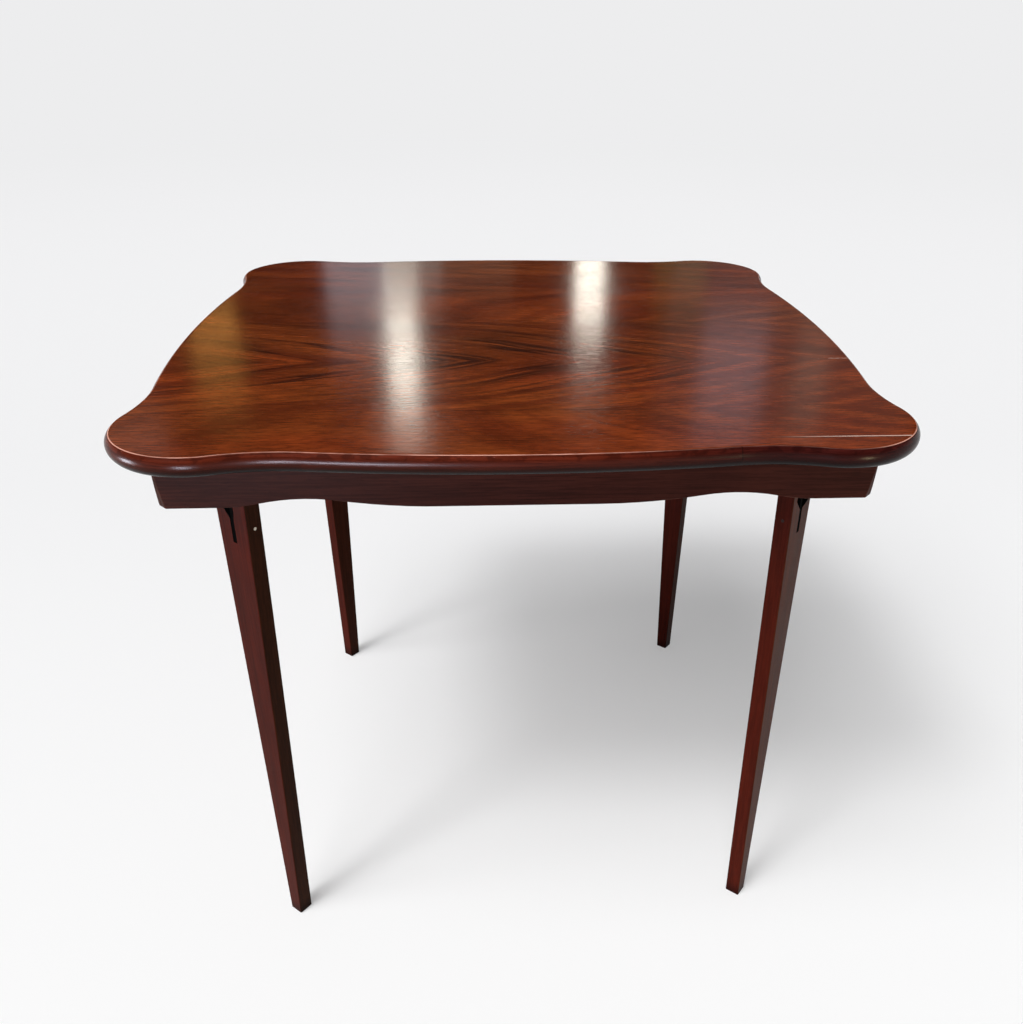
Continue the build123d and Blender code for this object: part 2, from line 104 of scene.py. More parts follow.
def blended(tree, share, first, second, mode="MIX"):
    """The first colour with that share of the second."""
    made = put(tree, "ShaderNodeMix", data_type="RGBA", blend_type=mode)
    for index, value in ((0, share), (6, first), (7, second)):
        if isinstance(value, bpy.types.NodeSocket):
            tree.links.new(value, made.inputs[index])
        else:
            made.inputs[index].default_value = value if index == 0 else (*value, 1.0)
    return made.outputs[2]


def multiplied(tree, colour, factor):
    return blended(tree, 1.0, colour, factor, "MULTIPLY")


def grey(tree, level):
    return put(tree, "ShaderNodeCombineColor", {0: level, 1: level, 2: level}).outputs[0]


def shaded(tree, colour, value, low, high, darkest, lightest):
    """The colour, multiplied by a level that follows the value."""
    return multiplied(tree, colour, grey(tree, smooth(tree, value, low, high, darkest, lightest)))


def noise(tree, vector, scale, detail=2.0, roughness=0.5, distortion=0.0):
    values = {"Vector": vector, "Scale": scale, "Detail": detail,
              "Roughness": roughness, "Distortion": distortion}
    return put(tree, "ShaderNodeTexNoise", values).outputs["Fac"]


def streaked(tree, vector, scales, detail=2.0, roughness=0.5, distortion=0.0):
    """Noise with its own scale along each axis of the vector."""
    stretched = put(tree, "ShaderNodeMapping", {"Vector": vector, "Scale": scales}).outputs[0]
    return noise(tree, stretched, 1.0, detail, roughness, distortion)


def axes(tree, vector):
    return put(tree, "ShaderNodeSeparateXYZ", {0: vector}).outputs


def combined(tree, x=0.0, y=0.0, z=0.0):
    return put(tree, "ShaderNodeCombineXYZ", {0: x, 1: y, 2: z}).outputs[0]


def facing(tree, coordinates, direction):
    """How squarely the surface looks that way: 1 straight at it, -1 straight away."""
    values = {0: coordinates.outputs["Normal"], 1: direction}
    return put(tree, "ShaderNodeVectorMath", values, operation="DOT_PRODUCT").outputs["Value"]


def turned(tree, vector, turn, move):
    values = {"Vector": vector, "Rotation": turn, "Location": move}
    return put(tree, "ShaderNodeMapping", values).outputs[0]


def attribute(tree, name):
    return put(tree, "ShaderNodeAttribute", attribute_name=name).outputs


def linear(red, green, blue):
    """A colour given as it shows on a screen, 0 to 255."""
    def one(level):
        level /= 255
        return level / 12.92 if level <= 0.04045 else ((level + 0.055) / 1.055) ** 2.4
    return (one(red), one(green), one(blue))


def new_material(name):
    material = bpy.data.materials.new(name)
    material.use_nodes = True
    tree = material.node_tree
    tree.nodes.clear()
    surface = put(tree, "ShaderNodeBsdfPrincipled")
    output = put(tree, "ShaderNodeOutputMaterial", {"Surface": surface.outputs[0]})
    output.is_active_output = True
    return material, tree, surface


def bumped(tree, surface, height, strength, distance):
    values = {"Height": height, "Strength": strength, "Distance": distance}
    tree.links.new(put(tree, "ShaderNodeBump", values).outputs[0], surface.inputs["Normal"])


# Wood: its tones are dark, middle, light, and tints and shades multiply its colour, some of them
# painted light and shade

ALONG_X = (0.0, 0.0, 0.0)
ALONG_Y = (0.0, 0.0, math.radians(-90))
ALONG_Z = (0.0, math.radians(90), 0.0)
LACQUER_IOR = 1.48
BUMP_HEIGHT = 0.0004


def wood_colour(tree, grain, tones, fibre=1.0, streak=1.0):
    """Straight grained wood, its grain along the vector's X: broad streaks, fine
    fibres and short dark pores. Gives the colour and the depth of the pores."""
    dark, middle, light = tones
    wander = streaked(tree, grain, (1.3, 5.0, 5.0), 2.0)
    offset = combined(tree, y=maths(tree, "MULTIPLY", maths(tree, "SUBTRACT", wander, 0.5), 0.05))
    bent = put(tree, "ShaderNodeVectorMath", {0: grain, 1: offset}, operation="ADD").outputs[0]
    broad = streaked(tree, bent, (1.6, 34.0, 34.0), 4.0, 0.62)
    fine = streaked(tree, bent, (14.0, 520.0, 520.0), 3.0, 0.6)
    pores = streaked(tree, bent, (75.0, 1500.0, 1500.0), 1.0)
    colour = blended(tree, smooth(tree, broad, 0.5 - 0.2 / streak, 0.5 + 0.2 / streak), dark, light)
    colour = blended(tree, 0.45, colour, middle)
    colour = shaded(tree, colour, fine, 0.38, 0.62, 1.0 - 0.34 * fibre, 1.0 + 0.22 * fibre)
    pore = smooth(tree, pores, 0.60, 0.70)
    colour = blended(tree, maths(tree, "MULTIPLY", pore, 0.55 * fibre), colour,
                     tuple(level * 0.35 for level in dark))
    return colour, pore


def finish_wood(tree, surface, place, colour, pore, roughness, shine, pore_depth=0.4,
                strength=0.16, relief=None):
    """The finish over the wood: uneven gloss, faint orange peel, open pores and, where it
    is given, the relief of the grain."""
    patches = noise(tree, place, 9.0, 3.0)
    rub = noise(tree, place, 90.0, 3.0)
    uneven = maths(tree, "ADD", maths(tree, "MULTIPLY", patches, 0.10),
                   maths(tree, "MULTIPLY", rub, 0.06))
    tree.links.new(maths(tree, "ADD", uneven, roughness - 0.08), surface.inputs["Roughness"])
    peel = noise(tree, place, 260.0, 2.0)
    height = maths(tree, "SUBTRACT", maths(tree, "MULTIPLY", peel, 0.35),
                   maths(tree, "MULTIPLY", pore, pore_depth))
    if relief is not None:
        height = maths(tree, "ADD", height, relief)
    bumped(tree, surface, height, strength, BUMP_HEIGHT)
    surface.inputs["IOR"].default_value = LACQUER_IOR
    surface.inputs["Specular IOR Level"].default_value = shine
    tree.links.new(colour, surface.inputs["Base Color"])


def worn_edges(tree, place, colour, pale, amount):
    """Rubs the finish off the softened arrises, here and there."""
    patch = smooth(tree, noise(tree, place, 38.0, 4.0, 0.65), 0.42, 0.62)
    return blended(tree, product(tree, attribute(tree, "arris")["Fac"], patch, amount),
                   colour, pale)


def plain_wood(name, turn, move, tones, finish, fibre, streak, pale, wear, light_and_shade=None):
    """Straight grained wood with worn edges and, where it is given, painted light and shade over it.
    """
    material, tree, surface = new_material(name)
    coordinates = put(tree, "ShaderNodeTexCoord")
    place = coordinates.outputs["Object"]
    colour, pore = wood_colour(tree, turned(tree, place, turn, move), tones, fibre, streak)
    colour = worn_edges(tree, place, colour, pale, wear)
    if light_and_shade:
        colour = light_and_shade(tree, coordinates, colour)
    finish_wood(tree, surface, place, colour, pore, **finish)
    return material


# Top: boards that run left to right, under figured veneer

BOARD_WIDTH = 0.082
LEAF_WIDTH = 2 * BOARD_WIDTH  # the figure is mirrored at every second seam
MATCH_LINE = -0.127           # where the figured leaves meet, in Y
SPLIT_SEAM = -0.3715          # a seam that has opened at its right end, in Y
TOP_TONES = (linear(70, 25, 9), linear(100, 42, 15), linear(134, 64, 24))
TOP_FINISH = {"roughness": 0.15, "shine": 0.5, "pore_depth": 0.18, "strength": 0.17}
FIGURE_DARK = linear(40, 14, 7)
FIGURE_LIGHT = linear(150, 78, 32)
REDDER = (0.94, 0.72, 0.76)
SEAM_DARK = linear(30, 12, 8)
SEAM_PALE = linear(226, 196, 182)
UNDERSIDE_TONES = (linear(58, 32, 20), linear(84, 50, 33), linear(104, 66, 44))


def top_seams(tree, along, across, from_match):
    """How dark and how pale the seams are: tight ones are fine dark lines, and two
    have opened at their right ends and show pale."""
    phase = maths(tree, "FRACT", maths(tree, "DIVIDE", from_match, BOARD_WIDTH))
    gap = maths(tree, "MULTIPLY", maths(tree, "MINIMUM", phase, maths(
        tree, "SUBTRACT", 1.0, phase)), BOARD_WIDTH)
    fine = smooth(tree, gap, 0.0002, 0.0008, 1.0, 0.0)
    here = combined(tree, along, across)
    some = smooth(tree, streaked(tree, here, (3.0, 12.0, 1.0), 1.0), 0.38, 0.58)
    at_left = smooth(tree, along, -0.34, -0.24, 1.0, 0.0)
    tight = product(tree, fine, maths(tree, "MAXIMUM", some, at_left), 0.8)

    on_match = smooth(tree, maths(tree, "ABSOLUTE", from_match), 0.01, 0.03, 1.0, 0.0)
    broken = smooth(tree, streaked(tree, here, (75.0, 11.0, 1.0), 2.0), 0.46, 0.54)
    opened = product(tree, fine, on_match, smooth(tree, along, 0.362, 0.376), broken)
    from_split = maths(tree, "ABSOLUTE", maths(tree, "SUBTRACT", across, SPLIT_SEAM))
    split = product(tree, smooth(tree, from_split, 0.0005, 0.0014, 1.0, 0.0),
                    smooth(tree, along, 0.24, 0.33))
    return tight, maths(tree, "MAXIMUM", opened, split)


def figure_lines(tree, place, along, from_match, aside):
    """A measure across the grain. Its lines slant towards the match line, run straighter
    far from it, wander a little, and are mirrored from leaf to leaf."""
    wander = streaked(tree, place, (2.6, 4.0, 1.0), 2.0, 0.5)
    ripple = streaked(tree, place, (11.0, 16.0, 1.0), 2.0, 0.5)
    slant = smooth(tree, aside, 0.06, 0.34, 0.50, 0.16)
    from_right = maths(tree, "SUBTRACT", along, HALF_TOP)
    mirrored = maths(tree, "PINGPONG", from_match, LEAF_WIDTH)
    line = maths(tree, "ADD", mirrored, maths(tree, "MULTIPLY", from_right, slant))
    line = maths(tree, "ADD", line, maths(tree, "MULTIPLY", wander, 0.06))
    return maths(tree, "ADD", line, maths(tree, "MULTIPLY", ripple, 0.008))


def top_colour(tree, place):
    """The face of the top. Gives its colour, its pores and the relief of its grain."""
    along, across, _ = axes(tree, place)
    from_match = maths(tree, "SUBTRACT", across, MATCH_LINE)
    aside = maths(tree, "ABSOLUTE", from_match)
    front = smooth(tree, from_match, -0.06, 0.02, 1.0, 0.0)
    board = maths(tree, "FLOOR", maths(tree, "DIVIDE", from_match, BOARD_WIDTH))
    own = put(tree, "ShaderNodeTexWhiteNoise", {"W": board}, noise_dimensions="1D").outputs[0]
    line = figure_lines(tree, place, along, from_match, aside)
    flow = combined(tree, along, line, maths(tree, "MULTIPLY", own, 0.02))

    def layer(along_grain, across_grain, detail, roughness=0.55):
        return streaked(tree, flow, (along_grain, across_grain, 8.0), detail, roughness)

    # Slow changes of tone, and zones that are redder
    broad = layer(2.6, 27.0, 3.0)
    clouds = streaked(tree, place, (6.0, 15.0, 1.0), 4.0, 0.6)
    red = smooth(tree, streaked(tree, place, (2.4, 7.0, 1.0), 3.0), 0.38, 0.62)
    colour = blended(tree, smooth(tree, broad, 0.34, 0.66), TOP_TONES[0], TOP_TONES[2])
    colour = blended(tree, 0.5, colour, TOP_TONES[1])
    colour = shaded(tree, colour, clouds, 0.30, 0.70, 0.80, 1.20)
    colour = shaded(tree, colour, own, 0.0, 1.0, 0.92, 1.08)
    colour = blended(tree, maths(tree, "MULTIPLY", red, 0.7), colour,
                     multiplied(tree, colour, REDDER))

    # Dark strands of the figure, strongest at the left of the match line
    near = smooth(tree, aside, 0.06, 0.16, 1.0, 0.10)
    reach = product(tree, near, smooth(tree, along, -0.44, -0.30),
                    smooth(tree, along, 0.06, 0.40, 1.0, 0.20))
    strand = maths(tree, "ABSOLUTE", maths(tree, "SUBTRACT", layer(2.2, 42.0, 2.0, 0.5), 0.5))
    strand = smooth(tree, strand, 0.010, 0.050, 1.0, 0.0)
    bundle = smooth(tree, layer(2.4, 15.0, 2.0), 0.40, 0.54)
    dark = product(tree, reach, maths(tree, "MULTIPLY_ADD", strand, 0.75, 0.20), bundle)
    colour = blended(tree, maths(tree, "MULTIPLY", dark, 0.92), colour, FIGURE_DARK)
    light = product(tree, reach, smooth(tree, layer(2.4, 60.0, 2.0), 0.54, 0.68))
    colour = blended(tree, maths(tree, "MULTIPLY", light, 0.13), colour, FIGURE_LIGHT)
    streak = smooth(tree, layer(1.8, 24.0, 3.0, 0.6), 0.58, 0.72)
    depth = product(tree, streak, maths(tree, "MULTIPLY_ADD", front, 0.25, 0.35))
    colour = blended(tree, depth, colour, FIGURE_DARK)

    # Short flecks, fibres and pores, on a ground that is lighter towards the front
    flecks = streaked(tree, place, (26.0, 330.0, 1.0), 3.0, 0.6)
    fibre = streaked(tree, place, (75.0, 900.0, 1.0), 2.0, 0.6)
    colour = shaded(tree, colour, flecks, 0.30, 0.70, 0.80, 1.18)
    colour = shaded(tree, colour, fibre, 0.30, 0.70, 0.70, 1.26)
    gain = maths(tree, "MULTIPLY_ADD", front, 0.30, 1.08)
    colour = multiplied(tree, colour, grey(tree, gain))
    pore = smooth(tree, streaked(tree, place, (70.0, 900.0, 1.0), 1.0), 0.60, 0.70)
    colour = blended(tree, maths(tree, "MULTIPLY", pore, 0.35), colour, FIGURE_DARK)

    tight, opened = top_seams(tree, along, across, from_match)
    colour = blended(tree, tight, colour, SEAM_DARK)
    colour = blended(tree, maths(tree, "MULTIPLY", opened, 0.9), colour, SEAM_PALE)
    relief = streaked(tree, place, (55.0, 460.0, 1.0), 3.0, 0.6)
    return colour, pore, relief


def panel_material():
    """The panel: lacquered face, plain stained underside."""
    material, tree, surface = new_material("Lacquered_figured_top")
    coordinates = put(tree, "ShaderNodeTexCoord")
    place = coordinates.outputs["Object"]
    colour, pore, relief = top_colour(tree, place)
    below = smooth(tree, axes(tree, coordinates.outputs["Normal"])[2], -0.5, -0.2, 1.0, 0.0)
    under_grain = turned(tree, place, (0, 0, math.radians(90)), (0.4, 0.1, 0.0))
    under, _ = wood_colour(tree, under_grain, UNDERSIDE_TONES, 0.9, 0.6)
    colour = blended(tree, below, colour, under)
    finish_wood(tree, surface, place, colour, pore, relief=relief, **TOP_FINISH)
    dull = surface.inputs["Roughness"].links[0].from_socket
    tree.links.new(maths(tree, "ADD", dull, maths(tree, "MULTIPLY", below, 0.4)),
                   surface.inputs["Roughness"])
    return material


# Mouldings: a nose whose grain follows the edge, under the flat face of the top

MOULDING_TONES = (linear(38, 10, 8), linear(64, 20, 15), linear(86, 30, 21))
MOULDING_FINISH = {"roughness": 0.24, "shine": 0.085, "pore_depth": 0.15}
MOULDING_FLAME = linear(46, 13, 10)
# painted light at the left of the table and painted shade at the right, over the nose's colour
NOSE_LIT_AT_LEFT = (1.85, 2.0, 1.3)
NOSE_SHADED_AT_RIGHT = (0.76, 0.80, 0.95)
ARRIS_LINE = 0.0006           # half the width of the pale line on the arris
CHIP_WIDTH = 0.0016           # what a chip adds to it
# the pale arris line is partly wear and chips and partly a painted highlight
ARRIS_WEAR_AND_HIGHLIGHT = linear(214, 158, 140)
JOINT_DARK = linear(20, 8, 6)


def face_of_moulding_material():
    """The flat top of the mouldings, where the veneer of the top runs on to the arris."""
    material, tree, surface = new_material("Lacquered_moulding_face")
    place = put(tree, "ShaderNodeTexCoord").outputs["Object"]
    colour, pore, relief = top_colour(tree, place)
    finish_wood(tree, surface, place, colour, pore, relief=relief, **TOP_FINISH)
    return material


def worn_and_highlit_arris(tree, section, along, inset, height):
    """How pale the arris is: a thin line, partly wear and partly a painted highlight, wider where it
    is chipped, and faint over part of its length."""
    chip = smooth(tree, streaked(tree, section, (95.0, 400.0, 400.0), 3.0, 0.6), 0.60, 0.72)
    chipped = smooth(tree, streaked(tree, section, (9.0, 0.0, 0.0), 1.0), 0.54, 0.60)
    width = maths(tree, "MULTIPLY_ADD", product(tree, chip, chipped), CHIP_WIDTH, ARRIS_LINE)
    from_arris = maths(tree, "ABSOLUTE", maths(tree, "SUBTRACT", inset, NOSE_DEPTH))
    edge = smooth(tree, maths(tree, "DIVIDE", from_arris, width), 0.5, 1.2, 1.0, 0.0)
    edge = maths(tree, "MULTIPLY", edge, smooth(tree, height, 0.0070, 0.0090))
    patchy = smooth(tree, streaked(tree, section, (13.0, 60.0, 60.0), 5.0, 0.7),
                    0.36, 0.62, 0.25, 1.0)
    shown_along = maths(tree, "MAXIMUM", smooth(tree, along, 0.08, 0.16, 1.0, 0.2),
                   smooth(tree, along, 0.32, 0.37))
    return product(tree, edge, patchy, shown_along)


def moulding_material():
    """The nose: painted shade darkens it towards its foot and painted light brightens its upper band;
    painted light makes it lighter and warmer at the left of the table and painted shade deeper at
    the right. Its pale upper arris is partly wear and partly a painted highlight, and a dark line
    shows where a corner piece starts."""
    material, tree, surface = new_material("Lacquered_moulding")
    place = put(tree, "ShaderNodeTexCoord").outputs["Object"]
    section = attribute(tree, "run")["Vector"]
    run, inset, height = axes(tree, section)
    along = axes(tree, place)[0]
    colour, pore = wood_colour(tree, section, MOULDING_TONES, 0.7, 0.8)
    # painted light: the nose's upper band is made lighter
    colour = shaded(tree, colour, height, 0.002, 0.009, 1.0, 1.85)
    flame = streaked(tree, section, (62.0, 120.0, 120.0), 3.0, 0.6, 0.6)
    figure = product(tree, smooth(tree, flame, 0.48, 0.60), smooth(tree, height, 0.001, 0.007), 0.6)
    colour = blended(tree, figure, colour, MOULDING_FLAME)
    # painted shade: the nose grows darker towards its foot
    colour = shaded(tree, colour, height, -0.009, 0.002, 0.04, 0.62)
    # painted light: lighter and warmer at the left of the table; painted shade: darker at the right
    colour = blended(tree, smooth(tree, along, 0.02, 0.26),
                     multiplied(tree, colour, NOSE_LIT_AT_LEFT), multiplied(tree, colour, NOSE_SHADED_AT_RIGHT))
    # partly wear, partly a painted highlight along the upper arris
    pale = worn_and_highlit_arris(tree, section, along, inset, height)
    colour = blended(tree, pale, colour, ARRIS_WEAR_AND_HIGHLIGHT)
    joint = smooth(tree, run, 0.0005, 0.0013, 1.0, 0.0)
    colour = blended(tree, maths(tree, "MULTIPLY", joint, 0.85), colour, JOINT_DARK)
    finish_wood(tree, surface, place, colour, pore, **MOULDING_FINISH)
    return material


# Aprons, legs and blocks

APRON_TONES = (linear(46, 19, 14), linear(66, 30, 24), linear(83, 40, 31))
APRON_FINISH = {"roughness": 0.38, "shine": 0.030}
APRON_EDGE = linear(118, 82, 70)
APRON_BACK = (1.5, 1.55, 1.5)
LEG_TONES = (linear(50, 14, 7), linear(68, 20, 10), linear(84, 26, 14))
LEG_FINISH = {"roughness": 0.36, "shine": 0.026}
LEG_EDGE = linear(150, 104, 82)
RAW_TONES = (linear(96, 66, 42), linear(128, 92, 60), linear(150, 112, 76))
RAW_FINISH = {"roughness": 0.62, "shine": 0.3}
RAW_EDGE = linear(170, 134, 98)
FRONT_RIGHT_ANGLE = FOLD_ANGLE + math.radians(90)
FRONT_RIGHT = (math.cos(FRONT_RIGHT_ANGLE), math.sin(FRONT_RIGHT_ANGLE), 0.0)
# painted light and shade: darker on the faces that look front right of most legs, lighter and greener
# on the front right leg's
SIDE_LIGHT_AND_SHADE = {               # of each leg's face that looks front right
    "front_left": (0.55, 1.25, 0.95),
    "front_right": (1.25, 2.0, 0.95),
    "rear_right": (0.6, 1.1, 0.95),
    "rear_left": (0.6, 1.1, 0.95),
}
# painted warm light near the top of the front left leg
HEAD_WARM_LIGHT = {"front_left": (1.65, 1.1, 0.5)}  # of a leg's other faces, under the apron


def apron_material(name, turn):
    """Aprons: lacquered outside, plain stained wood on the faces that look inwards."""
    material, tree, surface = new_material(name)
    coordinates = put(tree, "ShaderNodeTexCoord")
    place = coordinates.outputs["Object"]
    grain = turned(tree, place, turn, (0.2, 0.03, 0.1))
    colour, pore = wood_colour(tree, grain, APRON_TONES, 0.7, 0.5)
    outward = put(tree, "ShaderNodeVectorMath", {0: place, 1: (1.0, 1.0, 0.0)}, operation="MULTIPLY")
    outward = put(tree, "ShaderNodeVectorMath", {0: outward.outputs[0]}, operation="NORMALIZE")
    back = smooth(tree, facing(tree, coordinates, outward.outputs[0]), -0.6, -0.4, 1.0, 0.0)
    colour = blended(tree, back, colour, multiplied(tree, colour, APRON_BACK))
    colour = worn_edges(tree, place, colour, APRON_EDGE, 0.4)
    finish_wood(tree, surface, place, colour, pore, **APRON_FINISH)
    return material


def leg_wood(index, corner):
    """A leg: darker towards its foot, with painted light and shade that differs from face to face."""
    def light_and_shade(tree, coordinates, colour):
        level = axes(tree, coordinates.outputs["Object"])[2]
        colour = shaded(tree, colour, level, 0.0, 0.025, 0.4, 1.0)
        # painted shade, and on the front right leg painted light, on the faces that look front right
        towards = facing(tree, coordinates, FRONT_RIGHT)
        colour = blended(tree, smooth(tree, towards, 0.3, 0.8), colour,
                         multiplied(tree, colour, SIDE_LIGHT_AND_SHADE[corner]))
        # painted warm light on the front left leg's other faces near its top
        if corner in HEAD_WARM_LIGHT:
            head = product(tree, smooth(tree, level, 0.50, 0.60),
                           smooth(tree, towards, 0.3, 0.8, 1.0, 0.0))
            colour = blended(tree, head, colour, multiplied(tree, colour, HEAD_WARM_LIGHT[corner]))
        return colour

    move = (0.37 * index, 0.21 * index, 0.0)
    return plain_wood("Lacquered_leg_" + corner, ALONG_Z, move, LEG_TONES, LEG_FINISH,
                      fibre=0.55, streak=0.7, pale=LEG_EDGE, wear=0.3, light_and_shade=light_and_shade)


def raw_wood(name, turn, move):
    """Unfinished wood of the blocks under the top."""
    return plain_wood(name, turn, move, RAW_TONES, RAW_FINISH,
                      fibre=0.7, streak=0.6, pale=RAW_EDGE, wear=0.5)


# Steel, and the black painted shade in the slots

def metal(name, colour, tarnish, roughness, spread, metallic=1.0, shine=0.5):
    """Metal with patchy tarnish and fine scratches, brighter on its arrises."""
    material, tree, surface = new_material(name)
    place = put(tree, "ShaderNodeTexCoord").outputs["Object"]
    patch = smooth(tree, noise(tree, place, 120.0, 5.0, 0.65), 0.42, 0.68)
    scratch = streaked(tree, place, (900.0, 900.0, 60.0), 2.0)
    shade = blended(tree, maths(tree, "MULTIPLY", patch, 0.75), colour, tarnish)
    bright = tuple(min(1.0, level * 1.7 + 0.04) for level in colour)
    shade = blended(tree, maths(tree, "MULTIPLY", attribute(tree, "arris")["Fac"], 0.6),
                    shade, bright)
    tree.links.new(shade, surface.inputs["Base Color"])
    rough = maths(tree, "ADD", maths(tree, "MULTIPLY", patch, spread),
                  maths(tree, "MULTIPLY", scratch, 0.12))
    tree.links.new(maths(tree, "ADD", rough, roughness - 0.06), surface.inputs["Roughness"])
    surface.inputs["Metallic"].default_value = metallic
    surface.inputs["Specular IOR Level"].default_value = shine
    bumped(tree, surface, scratch, 0.12, 0.0002)
    return material


def slot_shade_material():
    """The sawn walls of a leg's slot: black painted shade, a little uneven."""
    material, tree, surface = new_material("Black_painted_shade_slot")
    place = put(tree, "ShaderNodeTexCoord").outputs["Object"]
    cuts = streaked(tree, place, (40.0, 40.0, 1400.0), 2.0)
    colour = blended(tree, cuts, (0.001, 0.001, 0.001), (0.006, 0.004, 0.003))
    tree.links.new(colour, surface.inputs["Base Color"])
    surface.inputs["Roughness"].default_value = 0.85
    surface.inputs["Specular IOR Level"].default_value = 0.05
    bumped(tree, surface, cuts, 0.3, 0.0003)
    return material


# The materials of this table

top_wood = panel_material()
moulding_wood = moulding_material()
moulding_face_wood = face_of_moulding_material()
apron_woods = {
    side: apron_material("Lacquered_apron_" + side, ALONG_X if index % 2 == 0 else ALONG_Y)
    for index, side in enumerate(SIDES)
}
leg_woods = {corner: leg_wood(index, corner) for index, corner in enumerate(CORNERS)}
block_wood = raw_wood("Plain_block_wood", ALONG_Z, (0.1, 0.0, 0.0))
glue_wood = raw_wood("Plain_glue_block_wood", ALONG_X, (0.3, 0.2, 0.0))
glue_wood_across = raw_wood("Plain_glue_block_wood_across", ALONG_Y, (0.5, 0.1, 0.0))
bracket_steel = metal("Zinc_plated_steel", (0.42, 0.42, 0.40), (0.20, 0.17, 0.13), 0.34, 0.22)
black_steel = metal("Blackened_steel", (0.001, 0.001, 0.001), (0.004, 0.003, 0.002), 0.75, 0.15,
                    metallic=0.0, shine=0.01)
spring_steel = metal("Blued_spring_steel", (0.16, 0.17, 0.20), (0.12, 0.09, 0.07), 0.30, 0.18)
pin_steel = metal("Bright_pin_steel", (0.50, 0.49, 0.46), (0.24, 0.20, 0.16), 0.28, 0.2)
screw_steel = metal("Slotted_screw_steel", (0.38, 0.36, 0.32), (0.16, 0.12, 0.08), 0.34, 0.2)
rivet_steel = metal("Worn_rivet_steel", (0.52, 0.47, 0.40), (0.24, 0.18, 0.13), 0.30, 0.16)
stained_rivet = metal("Stained_rivet_steel", (0.035, 0.014, 0.010), (0.020, 0.008, 0.006), 0.45, 0.1,
                      metallic=0.0, shine=0.08)
# painted shade: the slot's walls are black where they lie in shade
slot_painted_shade = slot_shade_material()


# Shapes

def made_object(name, mesh, node):
    """A finished piece that stands for a CAD node and rides on its body."""
    piece = bpy.data.objects.new(name, mesh)
    bpy.context.scene.collection.objects.link(piece)
    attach(piece, BODY_OF[node])
    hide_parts(node)
    return piece


def held(data):
    """A throwaway object that takes a mesh or a curve through a modifier."""
    holder = bpy.data.objects.new("holder", data)
    bpy.context.scene.collection.objects.link(holder)
    return holder


def taken(holder):
    """The mesh that the holder's modifier makes. The holder goes."""
    graph = bpy.context.evaluated_depsgraph_get()
    mesh = bpy.data.meshes.new_from_object(holder.evaluated_get(graph), depsgraph=graph)
    bpy.data.objects.remove(holder)
    return mesh


def evened(mesh, name):
    """The mesh with flat faces shaded flat up to its eased edges."""
    holder = held(mesh)
    even = holder.modifiers.new("Even", "WEIGHTED_NORMAL")
    even.keep_sharp = True
    final = taken(holder)
    final.name = name
    return final


SAME_POINT = 2e-6
FLAT_SEAM = math.radians(0.8) # the CAD mesh's triangles merge across edges flatter than this
SHARP_EDGE = math.radians(32) # edges sharper than this are eased
SHADED_EDGE = math.radians(34)  # the shading breaks at edges sharper than this
EASING_STEPS = 2
APRON_EASE = 0.0007
BLOCK_EASE = 0.0008
LEG_EASE = 0.0004
PLATE_EASE = 0.0003
SPRING_EASE = 0.0002
WALL_LOOK = 0.6               # the slot's walls look outwards less than this
BELOW_FOOT = 0.001            # and reach this far below its foot


def softened(node, width, material, name, shade_painted=None):
    """The CAD node with its sharp edges eased, each eased face marked as arris. The
    faces that the given test picks out get the slot's black painted shade."""
    shape = bmesh.new()
    shape.from_mesh(frame["nodes"][node].data)
    bmesh.ops.remove_doubles(shape, verts=shape.verts, dist=SAME_POINT)
    bmesh.ops.dissolve_limit(shape, angle_limit=FLAT_SEAM, verts=shape.verts, edges=shape.edges)
    edges = [
        edge for edge in shape.edges
        if len(edge.link_faces) == 2 and edge.calc_face_angle(0.0) > SHARP_EDGE
    ]
    eased = set(bmesh.ops.bevel(shape, geom=edges, offset=width, segments=EASING_STEPS,
                                profile=0.5, affect="EDGES", clamp_overlap=True)["faces"])
    shape.faces.ensure_lookup_table()
    marks = [1.0 if face in eased else 0.0 for face in shape.faces]
    many_sided = [face for face in shape.faces if len(face.verts) > 4 and face in eased]
    bmesh.ops.triangulate(shape, faces=many_sided)
    mesh = bpy.data.meshes.new(name)
    shape.to_mesh(mesh)
    shape.free()
    # A piece that has a many-sided eased corner keeps no marks, and so shows no wear
    if len(mesh.polygons) == len(marks):
        mesh.attributes.new("arris", "FLOAT", "FACE").data.foreach_set("value", marks)
    for polygon in mesh.polygons:
        polygon.use_smooth = True
    mesh.set_sharp_from_angle(angle=SHADED_EDGE)
    mesh.materials.append(material)
    # painted shade: the slot's walls get the black material
    if shade_painted:
        mesh.materials.append(slot_painted_shade)
        for polygon in mesh.polygons:
            polygon.material_index = 1 if shade_painted(polygon) else 0
    return made_object(name, evened(mesh, name), node)


def slot_walls(quarter):
    """Picks out the walls of the slot and its flared mouth in the leg of that corner."""
    turn = FOLD_ANGLE + math.radians(90 * quarter)
    outward = Vector((math.cos(turn), math.sin(turn), 0.0))
    sideways = Vector((-outward.y, outward.x, 0.0))
    front_left = Vector((-LEG_PLACE, -LEG_PLACE, 0.0))
    corner = Matrix.Rotation(math.radians(90 * quarter), 3, "Z") @ front_left

    def inside(polygon):
        across = abs((polygon.center - corner).dot(sideways))
        in_height = SLOT_FOOT - BELOW_FOOT < polygon.center.z < SLOT_HEAD
        look = abs(polygon.normal.dot(outward))
        return across < SLOT_REACH and in_height and look < WALL_LOOK

    return inside


# Mouldings: one section swept along each length of the outline

BULGE_STEP = 0.008
HOLLOW_STEP = 0.004
LOBE_STEP = 0.003
TIGHT_JOINT = 0.01            # a run that starts here shows no line at its start
OPEN_JOINT = 0.0
SECTION_CUTS = 15             # in each side of the section
ARRIS_CLEARANCE = 0.002       # the flat sides have no points this near the arris
HAIR = 0.00001
SAME_SWEPT_POINT = 1e-7
SHADED_MOULDING_EDGE = math.radians(40)
LOOKS_UP = 0.999              # the face of a moulding looks up at least this squarely


